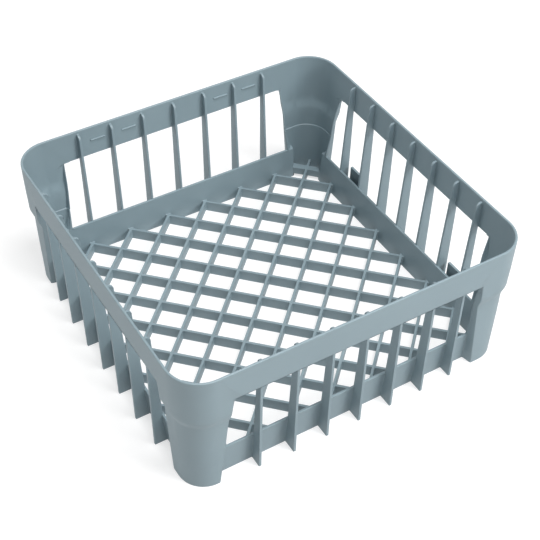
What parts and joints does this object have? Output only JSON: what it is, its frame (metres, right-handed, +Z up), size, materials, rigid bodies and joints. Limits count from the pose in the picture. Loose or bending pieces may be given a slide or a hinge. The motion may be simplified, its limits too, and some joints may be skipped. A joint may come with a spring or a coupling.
{
  "type": "dishwasher glass rack",
  "caption": "Open square plastic basket with a diagonal lattice floor, finned side windows and stepped corner posts, for holding glasses in a glasswasher.",
  "frame": {"origin": "centre of the base, where the posts stand", "axes": "+Z up, -Y is the front side, +X is the side with the marker pockets"},
  "size_m": [0.35, 0.35, 0.144],
  "materials": {
    "rack_plastic": "satin moulded polypropylene, grey-blue"
  },
  "bodies": {
    "root": {"rack": "rack_plastic"}
  },
  "joints": []
}
